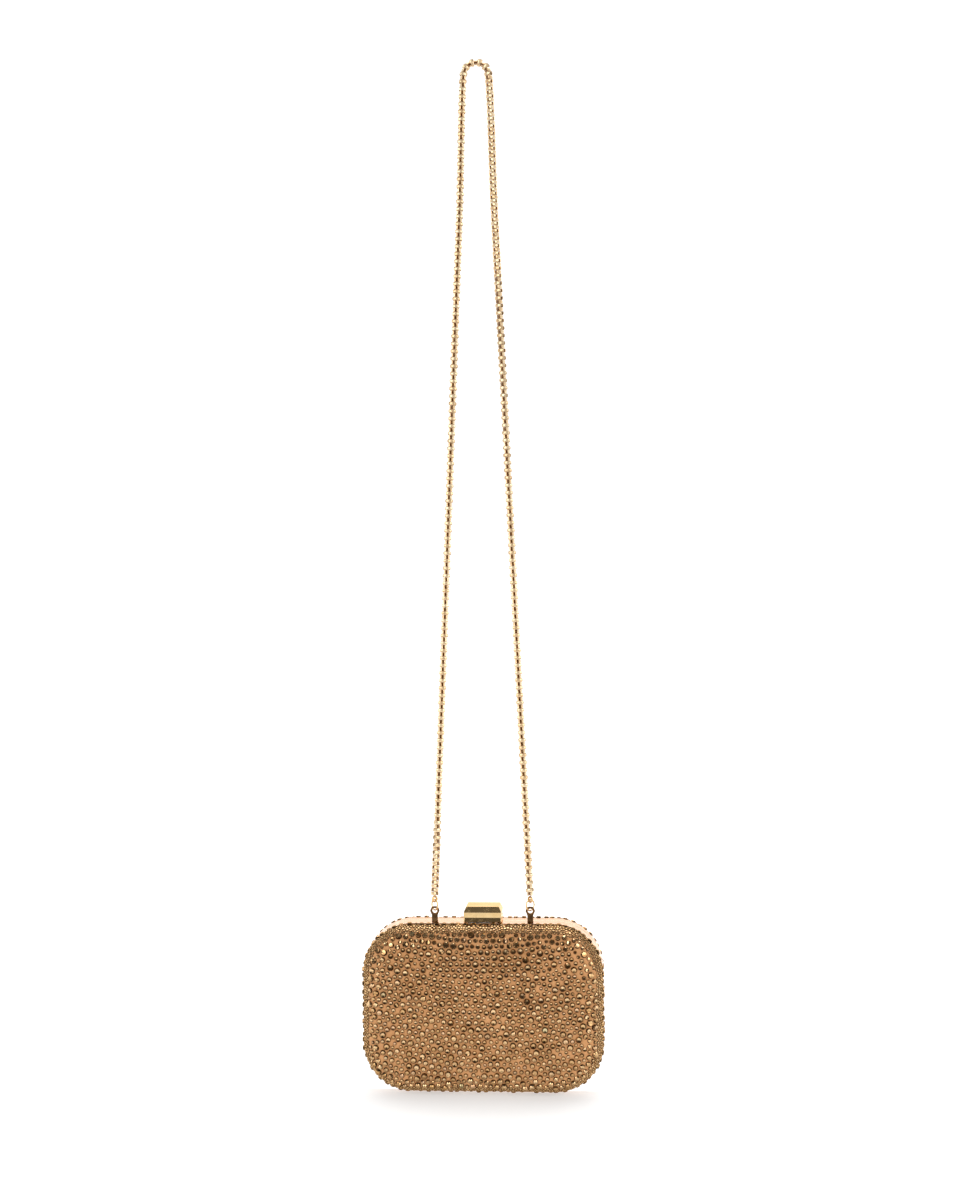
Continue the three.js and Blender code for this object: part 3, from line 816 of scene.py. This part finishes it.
def stone_plan(draw):
    """Where the stones sit and their radii: bowed rows over the face and fine rows round the rim, pushed
    apart until each has its own room."""
    rows = np.arange(-CASE_HEIGHT, CASE_HEIGHT, FACE_PITCH)
    columns = np.arange(-CASE_WIDTH, CASE_WIDTH, FACE_PITCH * 1.07)
    x, z = (a.ravel() for a in np.meshgrid(columns, rows))
    x = x + (np.round(z / FACE_PITCH) % 2) * FACE_PITCH / 2 + draw.normal(0, SCATTER, x.size)
    wave = 0.5 * MM * np.sin(x / (17 * MM) + z / (29 * MM))
    z = z + ROW_BOW * x**2 + wave + draw.normal(0, SCATTER, x.size)
    face = np.stack([x, z + MIDDLE], axis=1)
    face = face[on_cover(face)[2] < RIM_ZONE]
    fine = rim_rows(draw, FINE_PITCH)
    flat = RIM - FLAT_INSET * RIM_WAY
    last = evenly(flat + (ROOM - 1.9 * MM) * RIM_WAY, RIM, LAST_PITCH)
    plan = np.concatenate([face, fine, last])
    radii = np.concatenate([draw.choice(STONE_RADII, len(face), p=STONE_SHARE),
                            draw.choice(FINE_RADII, len(fine), p=FINE_SHARE),
                            draw.choice(STONE_RADII[1:], len(last), p=[0.5, 0.35, 0.15])])
    room = np.where(np.arange(len(plan)) < len(face), STONE_GAP, 0.2 * MM)
    for turn in range(ROUNDS):
        place = on_cover(plan)[0]
        if turn % 12 == 0:
            reach = np.float32(place)
            near = np.zeros((len(plan), len(plan)), np.float32)
            for c in range(3):
                near += (reach[:, None, c] - reach[None, :, c]) ** 2
            one, other = np.nonzero(np.triu(near < NEIGHBOURS**2, 1))
            want = radii[one] + radii[other] + np.minimum(room[one], room[other])
        apart = np.linalg.norm(place[one] - place[other], axis=1)
        way = plan[one] - plan[other]
        push = PUSH * np.clip(want - apart, 0, None)
        way *= (push / np.maximum(np.linalg.norm(way, axis=1), 1e-9))[:, None]
        for c in (0, 1):
            plan[:, c] += np.bincount(one, way[:, c], len(plan)) - np.bincount(other, way[:, c], len(plan))
        _, facing, beyond = on_cover(plan)
        plan = plan - np.clip(beyond - (ROOM - radii), 0, None)[:, None] * unit(facing[:, [0, 2]])
    place = on_cover(plan)[0]
    apart = np.linalg.norm(place[one] - place[other], axis=1)
    crowded = apart < radii[one] + radii[other] - 0.15 * MM
    drop = np.where(radii[one] < radii[other], one, other)[crowded]
    keep = ~np.isin(np.arange(len(plan)), drop)
    return plan[keep], radii[keep], (np.arange(len(plan)) >= len(face))[keep]


# For the walls, low triangles, kites, upper triangles, table and base, all painted light: tone (painted
# reflection, with dark walls and low triangles and a bright table), its spread (painted glints), and how
# much lighter a facet is painted as it faces up, towards the top of the bag, as painted light from above.
FACET_PAINTED_LIGHT = (
    (0.04, 0.05, 0.1), (0.14, 0.1, 0.2), (0.34, 0.18, 0.42),
    (0.58, 0.2, 0.42), (0.72, 0.16, 0.5), (0, 0, 0),
)
TABLE_DISH = 0.07


def set_stones(half, kind, draw, plan, radii):
    """Flat-backed stones: a round girdle, a crown of eight kites and eight triangles, and a table.

    The rings of a stone of radius 1 have the radii and heights below, and the third is turned by half a
    facet. The table is a very shallow dish of eight facets, as the foiled back shows through the glass.
    """
    place, facing, _ = on_cover(plan)
    count = len(plan)
    turn = np.arange(8) * math.pi / 4
    shape = []
    for reach, height, part in ((1.0, -0.12, 0), (1.0, 0.18, 0), (0.91, 0.5, 0.5), (0.68, 0.80, 0)):
        around = turn + part * math.pi / 4
        shape.append(np.stack([reach * np.cos(around), reach * np.sin(around), np.full(8, height)], axis=1))
    shape = np.concatenate([*shape, [[0, 0, 0.80 - TABLE_DISH]]])
    k, n = np.arange(8), (np.arange(8) + 1) % 8
    walls = np.stack([k, n, 8 + n, 8 + k], axis=1)
    lows = np.stack([8 + k, 8 + n, 16 + k], axis=1)
    kites = np.stack([8 + n, 16 + n, 24 + n, 16 + k], axis=1)
    stars = np.stack([16 + k, 24 + n, 24 + k], axis=1)
    table, bottom = np.stack([24 + k, 24 + n, np.full(8, 32)], axis=1), k[None, ::-1]
    spin = draw.uniform(0, math.pi / 4, count)
    tilt = draw.normal(0, 0.05, (count, 3))
    up = unit(facing + tilt)
    first = unit(np.cross(up, np.tile([0.0, 0.0, 1.0], (count, 1)) + 0.01))
    second = np.cross(up, first)
    ahead = first * np.cos(spin)[:, None] + second * np.sin(spin)[:, None]
    aside = np.cross(up, ahead)
    lift = draw.uniform(0.88, 1.08, count)
    points = place[:, None] + radii[:, None, None] * (
        shape[None, :, 0, None] * ahead[:, None] + shape[None, :, 1, None] * aside[:, None]
        + (shape[None, :, 2] * lift[:, None])[..., None] * up[:, None]
    )
    points = placed(*np.moveaxis(points, -1, 0), SIDES[half])
    offset = (np.arange(count) * len(shape))[:, None, None]
    blocks = [walls, lows, kites, stars, table, bottom]
    faces = [(b + offset).reshape(-1, b.shape[1]) for b in blocks]
    tint = draw.beta(2.2, 1.8, count)
    bright = draw.normal(0, 0.07, count)
    painted_tones = []
    # Painted light per facet: its kind's painted level, lighter as the facet faces up, and random painted
    # glints.
    for b, (level, vary, lit) in zip(blocks, FACET_PAINTED_LIGHT):
        middle = shape[b].mean(axis=1)
        upward = middle[None, :, 0] * ahead[:, None, 2] + middle[None, :, 1] * aside[:, None, 2]
        painted_glints = draw.uniform(-vary, vary, (count, len(b)))
        painted_tones.append((level + bright[:, None] + lit * upward + painted_glints).ravel())
    tints = [np.repeat(tint, len(b)) for b in blocks]
    make(f"{half}_{kind}", points, faces, stone_glass, f"{half}_half", sharp=0,
         attributes=[("facet_painted_light", "FACE", np.clip(np.concatenate(painted_tones), 0, 1)),
                     ("stone_tint", "FACE", np.concatenate(tints))])


for half, seed in (("front", 5), ("back", 23)):
    draw = np.random.default_rng(seed)
    plan, radii, fine = stone_plan(draw)
    set_stones(half, "stones", draw, plan[~fine], radii[~fine])
    set_stones(half, "rim_stones", draw, plan[fine], radii[fine])

# ---- clasp

flap_low, flap_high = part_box("clasp_flap")


def clasp_flap():
    """A bar with a bevelled top, open below: rounded rectangles stacked up from the ceiling inside, down the
    inner walls, round the rim, up the outside and over the bevel. Behind the pin the rim is cut higher, so
    that the flap can turn."""
    half_x, half_y = (flap_high.x - flap_low.x) / 2, (flap_high.y - flap_low.y) / 2
    pin = (joints["clasp_lift"]["pos_m"][1] - PARTING) / half_y
    step = 0.04
    top = (flap_high.z - CASE_TOP) / MM
    levels = softened(
        [(7.0, 9.6), (7.0, 1.3), (0.6, 1.3), (0.6, 0), (3.6, 0.28), (7.4, 0), (top, 1.8), (top, 9.6)],
        [0, 0.4, 0.2, 0.2, 0.1, 0.2, 0.25, 0], closed=False,
    ) * MM
    rings = []
    for height, inset in levels:
        x, y = half_x - inset, half_y - inset
        corner = min(0.45 * MM, 0.4 * y)
        near, far = y * (pin - step), y * (pin + step)
        outline = [(-x, -y), (x, -y), (x, near), (x, far), (x, y), (-x, y), (-x, far), (-x, near)]
        ring = softened(outline, [corner, corner, 0, 0] * 2, 4)
        cut = 2.6 * MM * np.clip((ring[:, 1] / y - pin + step) / (2 * step), 0, 1) * (height < 3 * MM)
        rings.append(np.column_stack([ring[:, 0], ring[:, 1] + PARTING, height + cut + CASE_TOP]))
    make("flap", np.concatenate(rings), tube_faces(len(rings), len(rings[0])), yellow_gold, "flap",
         ["clasp_flap"], sharp=40)


clasp_flap()

# ---- chain tabs and rivets


def rivet(node, name, body, finish):
    """A domed head on a short shank, turned round Z, closed at both poles."""
    low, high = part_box(node)
    rise = high.z - low.z
    head, shank = (high.x - low.x) / 2, 0.7 * MM
    dome = np.linspace(0, math.pi / 2, 9)
    base = rise - 0.7 * MM
    profile = np.concatenate([
        [(0, 0), (0, shank), (base, shank), (base, head * 0.97)],
        np.stack([base + 0.1 * MM + 0.6 * MM * np.sin(dome), head * np.cos(dome) ** 0.8], axis=1),
    ])
    points, faces = revolved(profile, np.array([(low.x + high.x) / 2, (low.y + high.y) / 2, low.z]), 28, "z")
    points, faces = merged(points, faces)
    make(name, points, faces, finish, body, [node], sharp=50)


LIP = 0.28  # mm that the eyelet's lip stands proud
# Stations of a tab's section as (mm back from its front, mm outwards from the eyelet or from the outline).
TAB_BORE = [(1.0, 0), (0.5, 0), (0, 0), (-0.7 * LIP, 0.1), (-LIP, 0.3), (-LIP, 0.5), (-0.6 * LIP, 0.68),
            (0, 0.75), (0, 0.9)]
TAB_EDGE = [(0, -0.45), (0, -0.16), (0.05, -0.05), (0.16, 0), (0.3, 0), (0.7, 0), (0.84, 0),
            (0.95, -0.05), (1.0, -0.16), (1.0, -0.45)]


def chain_tab(name):
    """A flat stem with a six-sided head round an eyelet, on a short foot.

    Every ray from the eyelet's middle meets the outline once, so the plate is a loop carried round the
    eyelet: up its bore, over the front to the outline, and back over the rear.
    """
    node = f"chain_tab_{name}"
    low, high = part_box(node)
    x = (low.x + high.x) / 2
    front = low.y
    wall, eye_height, eye = 1.0 * MM, 8.5 * MM, 1.65 * MM
    base = CASE_TOP + 0.3 * MM
    eye_z = CASE_TOP + eye_height
    half = [(2.05, 0.3), (2.05, 5.5), (3.4, 8.5), (2.38, 10.8), (1.19, 11.5)]
    outline = np.array(half + [(-a, b) for a, b in half[::-1]]) * MM - (0, eye_height)
    outline = softened(outline, np.array([0.2, 0.6, 0.5, 0.3, 0.4, 0.4, 0.3, 0.5, 0.6, 0.2]) * MM, 3)
    angle = np.arctan2(outline[:, 1], outline[:, 0])
    order = np.argsort(angle)
    angle, reach = angle[order], np.linalg.norm(outline, axis=1)[order]
    extra = np.linspace(-math.pi, math.pi, 72, endpoint=False)
    # A straight side is not a straight line in (angle, reach), so its middle points are found on the side.
    ends_x, ends_z = reach * np.cos(angle), reach * np.sin(angle)
    which = np.searchsorted(angle, extra) % len(angle)
    ax, az, bx, bz = ends_x[which - 1], ends_z[which - 1], ends_x[which], ends_z[which]
    cos, sin = np.cos(extra), np.sin(extra)
    cross = (bx - ax) * sin - (bz - az) * cos
    between = (az * (bx - ax) - ax * (bz - az)) / np.where(np.abs(cross) < 1e-12, 1e-12, cross)
    angle = np.concatenate([angle, extra])
    reach = np.concatenate([reach, between])
    order = np.argsort(angle)
    angle, reach = angle[order], reach[order]
    stations = [(eye, *place) for place in TAB_BORE] + [(reach, *place) for place in TAB_EDGE]
    loop = []
    for start, y, grow in [*stations, (eye, 1.0, 0.4)]:
        radius = start + grow * MM + 0 * angle
        loop.append(np.stack([x + radius * np.cos(angle), 0 * angle + front + y * MM,
                              eye_z + radius * np.sin(angle)], axis=1))
    plate = np.concatenate(loop), [grid_faces(len(loop), len(angle), True, True)]
    foot = block((x - 2.05 * MM, front + wall * 0.5, base), (x + 2.05 * MM, high.y, base + 0.8 * MM),
                 0.15 * MM)
    points, faces = joined([plate, foot])
    make(f"tab_{name}", points, faces, tab_gold_shaded, "front_half", [node], sharp=40)


for name in RING_TURN:
    chain_tab(name)
    rivet(f"tab_rivet_{name}", f"tab_stud_{name}", "front_half", tab_gold_shaded)
    rivet(f"bracket_rivet_{name}", f"bracket_stud_{name}", "back_half", steel)

# ---- hinges


def knuckle(x, start, end):
    """A barrel with its bore: a softened ring section turned round the hinge's axis."""
    bore = 0.9 * MM
    corners = [(start, bore), (end, bore), (end, BARREL), (start, BARREL)]
    section = softened(corners, [0.06 * MM] * 2 + [0.15 * MM] * 2)
    return revolved(section + (x, 0), np.array([0, PARTING, CASE_TOP + HINGE_HEIGHT]), 40)


def hinge_leaf(half, side, name, x):
    """Barrels, the webs that reach them and a thin plate under the frame's band."""
    node = f"hinge_leaf_{half}_{name}"
    spans = [(-4, 4)] if side == FRONT else [(-12, -4.3), (4.3, 12)]
    low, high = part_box(node)
    plate_z = (CASE_TOP - CASE_HEIGHT - 1.0 * MM, CASE_TOP - CASE_HEIGHT - 0.3 * MM)
    edge = max(abs(low.y - PARTING), abs(high.y - PARTING))
    reach = sorted((PARTING + side * 1.75 * MM, PARTING + side * edge))
    web = sorted((PARTING + side * 0.95 * MM, PARTING + side * 2.1 * MM))
    parts = [block((low.x, reach[0], plate_z[0]), (high.x, reach[1], plate_z[1]), 0.18 * MM)]
    for start, end in spans:
        start, end = start * MM, end * MM
        parts.append(knuckle(x, start, end))
        parts.append(block((x + start, web[0], plate_z[0]), (x + end, web[1], plate_z[1]), 0.1 * MM))
    points, faces = joined(parts)
    make(f"leaf_{half}_{name}", points, faces, rose_gold, f"{half}_half", [node], sharp=40)


def hinge_pin(name, x):
    """A pin with a low domed head at each end, closed at both poles."""
    low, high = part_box(f"hinge_pin_{name}")
    half = (high.x - low.x) / 2
    dome = np.linspace(0, math.pi / 2, 6)
    cap = np.stack([half - 0.5 * MM + 0.5 * MM * np.sin(dome), 1.15 * MM * np.cos(dome)], axis=1)
    right = np.concatenate([[(0, 0.6 * MM), (half - 0.5 * MM, 0.6 * MM)], cap])
    profile = np.concatenate([right, right[::-1] * (-1, 1)])
    points, faces = merged(*revolved(profile, np.array([x, PARTING, CASE_TOP + HINGE_HEIGHT]), 28))
    make(f"pin_{name}", points, faces, steel, "front_half", [f"hinge_pin_{name}"], sharp=50)


for name, sign in (("left", -1), ("right", 1)):
    for half, side in SIDES.items():
        hinge_leaf(half, side, name, sign * HINGE_X)
    hinge_pin(name, sign * HINGE_X)

# ---- pocket


def slip_pocket():
    """A flat pocket on the back lining: a sheet that stands off most at its open top, on a stitched seam.

    The stand-off is 0.1 mm plus 2 mm times the share of the height to the power 1.5, times
    (1 - (2x/width)^2) to the power 0.8.
    """
    low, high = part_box("slip_pocket")
    width, tall, corner = high.x - low.x, high.z - low.z, 8 * MM
    columns, rows = 61, 31
    across = np.linspace(-1, 1, columns)[:, None]
    up = np.linspace(0, 1, rows)[None]
    x = across * width / 2 + 0 * up
    lift = np.clip(np.abs(x) - (width / 2 - corner), 0, corner)
    bottom = corner - np.sqrt(corner**2 - lift**2)
    z = low.z + bottom + (tall - bottom) * up
    bulge = 2.0 * MM * up**1.5 * (1 - across**2) ** 0.8
    y = high.y - 0.1 * MM - bulge
    points = np.stack([x, y + 0 * x, z], axis=-1).reshape(-1, 3)
    pocket = make("pocket", points, [grid_faces(columns, rows)], lining_satin, "back_half",
                  ["slip_pocket"], sharp=180)
    solid_wall(pocket, 0.6 * MM, 0)


slip_pocket()

# ---- nodes that keep their own shape


def finish_node(node, finish):
    """Puts the finish on every material place of a node."""
    for place in frame["nodes"][node].material_slots:
        place.link = "OBJECT"
        place.material = finish


for half in SIDES:
    finish_node(f"{half}_shell", board)
for node in ("clasp_bracket", "clasp_pin", "strike_plate"):
    finish_node(node, steel)
finish_node("clasp_magnet", nickel)

# ---- floor and light

SHELF_STEP = 70 * MM


def seen(tree, lit, plain):
    """The plain colour or socket where the stage is looked at directly; lit in reflections and as light."""
    path = add_node(tree, "ShaderNodeLightPath")
    node = add_node(tree, "ShaderNodeMix", data_type="RGBA")
    if isinstance(plain, tuple):
        node.inputs[7].default_value = (*plain, 1)
    else:
        tree.links.new(plain, node.inputs[7])
    tree.links.new(path.outputs["Is Camera Ray"], node.inputs["Factor"])
    tree.links.new(lit, node.inputs[6])
    return node.outputs[2]


def along_y(tree, source, start, end):
    """How far along Y a place lies between start and end, from 0 to 1."""
    where = add_node(tree, "ShaderNodeTexCoord")
    split = add_node(tree, "ShaderNodeSeparateXYZ")
    tree.links.new(where.outputs[source], split.inputs["Vector"])
    return spread(tree, split.outputs["Y"], 0, 1, start, end)


def sweep():
    """A pale shelf that the bag stands on, its floor a step lower behind it, and a backdrop curving up.

    The shelf's edge is under the front half, so that the back half has room to open down past it. The
    edge and the foot of the step are quarter circles.
    """
    shelf, floor = cad_box[0][2], cad_box[0][2] - SHELF_STEP
    edge = PARTING - 2.5 * MM
    turn = np.linspace(0, math.pi / 2, 7)
    bend = np.linspace(0, math.pi / 2, 25)
    round_edge, foot = 1 * MM, 20 * MM
    y = np.concatenate([[-3.0, -1.0, -0.3], edge - round_edge + round_edge * np.sin(turn),
                        edge + foot * (1 - np.cos(turn)), [0.8], 1.4 + 1.2 * np.sin(bend), [2.6]])
    z = np.concatenate([[shelf] * 3, shelf - round_edge * (1 - np.cos(turn)),
                        floor + foot * (1 - np.sin(turn)), [floor], floor + 1.2 * (1 - np.cos(bend)),
                        [floor + 3.6]])
    x = np.linspace(-3.5, 3.5, 9)
    points = np.stack(np.broadcast_arrays(x[None], y[:, None], z[:, None]), axis=-1).reshape(-1, 3)
    mesh = bpy.data.meshes.new("floor")
    mesh.from_pydata(points.tolist(), [], grid_faces(len(y), len(x)).tolist())
    mesh.shade_smooth()
    made, tree, shader = new_finish("studio_paper", (0.35, 0.35, 0.35), 0.9, Emission_Strength=1.0)
    place = along_y(tree, "Object", -0.9, 1.1)
    glow = colours(tree, place, [(0.0, 0.0, 0.0, 0.0), (0.17, 0.03, 0.025, 0.02), (0.3, 0.46, 0.45, 0.44),
                                 (0.55, 0.48, 0.48, 0.48), (1.0, 0.86, 0.86, 0.86)])
    plain_glow = colours(tree, place, [(0.0, 0.48, 0.48, 0.48), (0.58, 0.48, 0.48, 0.48),
                                       (0.9, 0.78, 0.78, 0.78)])
    tree.links.new(seen(tree, glow, plain_glow), shader.inputs["Emission Color"])
    paper_tone = colours(tree, place, [(0.0, 0.04, 0.035, 0.03), (0.15, 0.06, 0.05, 0.045),
                                       (0.3, 0.62, 0.62, 0.62)])
    tree.links.new(seen(tree, paper_tone, (0.62, 0.62, 0.62)), shader.inputs["Base Color"])
    mesh.materials.append(made)
    added("floor", mesh)


def soft_box(name, place, aim, size, power):
    """A rectangular soft light at a place, turned to face the aim."""
    data = bpy.data.lights.new(name, "AREA")
    data.shape = "RECTANGLE"
    data.size, data.size_y = size
    data.energy = power
    lamp = added(name, data)
    direction = np.array(aim, float) - place
    lamp.location = place
    lamp.rotation_euler = Vector(direction).to_track_quat("-Z", "Y").to_euler()


def room():
    """Studio air: bright behind the bag and darker behind the camera, for what the metal mirrors."""
    world = bpy.data.worlds.new("studio")
    world.use_nodes = True
    tree = world.node_tree
    shade = colours(tree, along_y(tree, "Generated", -1, 1),
                    [(0.0, 0.10, 0.09, 0.08), (0.3, 0.18, 0.17, 0.16), (0.5, 0.5, 0.5, 0.5),
                     (0.75, 0.95, 0.95, 0.95)])
    tree.links.new(seen(tree, shade, (0.98, 0.98, 0.98)), tree.nodes["Background"].inputs["Color"])
    tree.nodes["Background"].inputs["Strength"].default_value = 1.0
    bpy.context.scene.world = world


sweep()
room()
soft_box("top_light", (0.0, 0.55, 1.1), (0, 0.3, -0.6), (2.2, 1.1), 20)
soft_box("left_light", (-1.0, -1.35, -0.1), (0, 0, -0.4), (1.1, 1.7), 17)
soft_box("right_light", (1.2, -1.25, -0.1), (0, 0, -0.4), (1.1, 1.7), 18)
